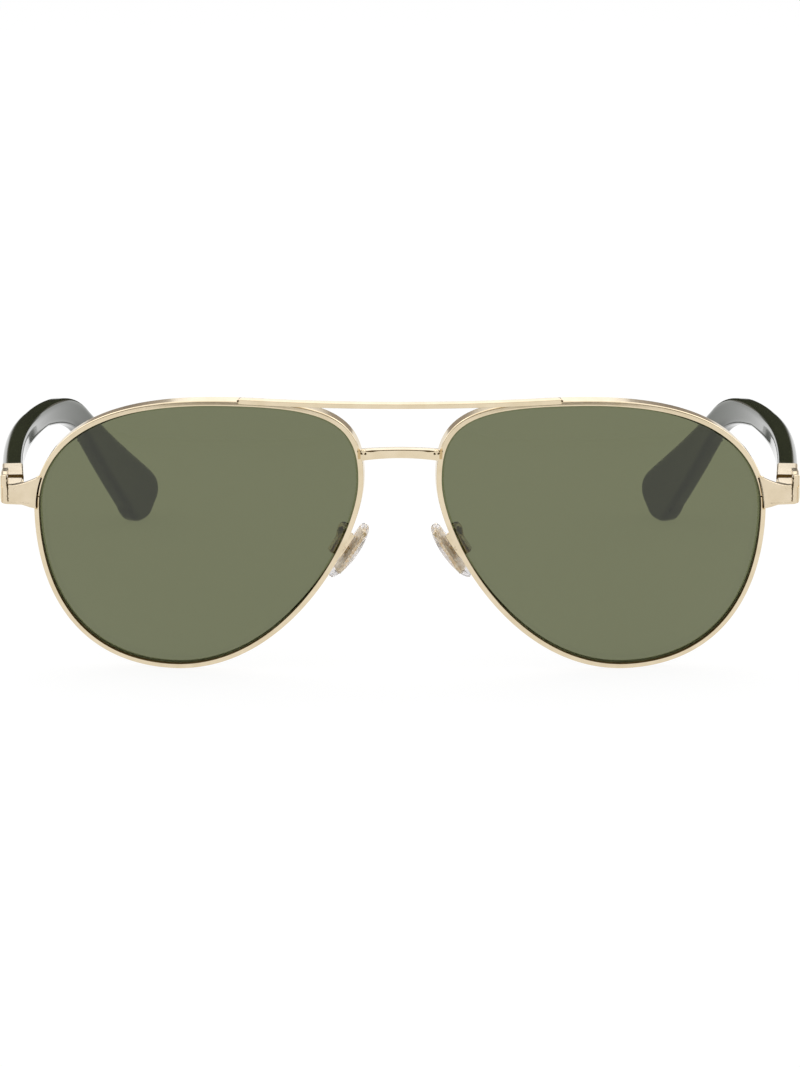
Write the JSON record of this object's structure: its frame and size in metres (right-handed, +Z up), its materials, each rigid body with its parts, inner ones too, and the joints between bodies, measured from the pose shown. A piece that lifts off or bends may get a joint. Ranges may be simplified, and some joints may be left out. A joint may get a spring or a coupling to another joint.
{
  "type": "aviator sunglasses",
  "caption": "Folding aviator sunglasses: thin metal double-bridge frame, tinted teardrop lenses, rocking nose pads and hinged acetate temples.",
  "frame": {"origin": "middle of the bounding box at its base: the plane that the rim bottoms and the temple tips stand on", "axes": "+X to the wearer's left, front faces -Y, temples run back along +Y, +Z up"},
  "size_m": [0.1454, 0.1426, 0.0503],
  "materials": {
    "gold_metal": "polished pale gold plating",
    "tinted_lens": "clear gloss, plain olive green tint",
    "green_acetate": "polished very dark green acetate",
    "clear_silicone": "clear, smooth",
    "core_steel": "plain steel strip sealed in the acetate"
  },
  "bodies": {
    "front": {"left_rim": "gold_metal", "right_rim": "gold_metal", "left_lens": "tinted_lens", "right_lens": "tinted_lens", "bridge": "gold_metal", "top_bar": "gold_metal", "left_endpiece": "gold_metal", "right_endpiece": "gold_metal", "left_rim_lock_upper": "gold_metal", "right_rim_lock_upper": "gold_metal", "left_rim_lock_lower": "gold_metal", "right_rim_lock_lower": "gold_metal", "left_rim_screw": "gold_metal", "right_rim_screw": "gold_metal", "left_front_hinge": "gold_metal", "right_front_hinge": "gold_metal", "left_hinge_screw": "gold_metal", "right_hinge_screw": "gold_metal", "left_pad_arm": "gold_metal", "right_pad_arm": "gold_metal", "left_pad_box": "gold_metal", "right_pad_box": "gold_metal", "left_pad_screw": "gold_metal", "right_pad_screw": "gold_metal"},
    "right_temple_arm": {"right_temple_hinge": "gold_metal", "right_ferrule": "gold_metal", "right_temple": "green_acetate", "right_core_wire": "core_steel"},
    "left_temple_arm": {"left_temple_hinge": "gold_metal", "left_ferrule": "gold_metal", "left_temple": "green_acetate", "left_core_wire": "core_steel"},
    "right_pad": {"right_nose_pad": "clear_silicone", "right_pad_insert": "gold_metal"},
    "left_pad": {"left_nose_pad": "clear_silicone", "left_pad_insert": "gold_metal"}
  },
  "joints": [
    {"name": "left_temple_fold", "type": "hinge", "parent": "front", "child": "left_temple_arm", "pos_m": [0.0656, -0.05485, 0.0306], "axis": [0, 0, 1], "range_deg": [0, 82]},
    {"name": "right_temple_fold", "type": "hinge", "parent": "front", "child": "right_temple_arm", "pos_m": [-0.0656, -0.05485, 0.0306], "axis": [0, 0, -1], "range_deg": [0, 74]},
    {"name": "left_pad_rock", "type": "hinge", "parent": "front", "child": "left_pad", "pos_m": [0.01026, -0.05972, 0.02196], "axis": [0.1392, 0.9903, 0], "range_deg": [-6, 6]},
    {"name": "right_pad_rock", "type": "hinge", "parent": "front", "child": "right_pad", "pos_m": [-0.01026, -0.05972, 0.02196], "axis": [0.1392, -0.9903, 0], "range_deg": [-6, 6]}
  ]
}
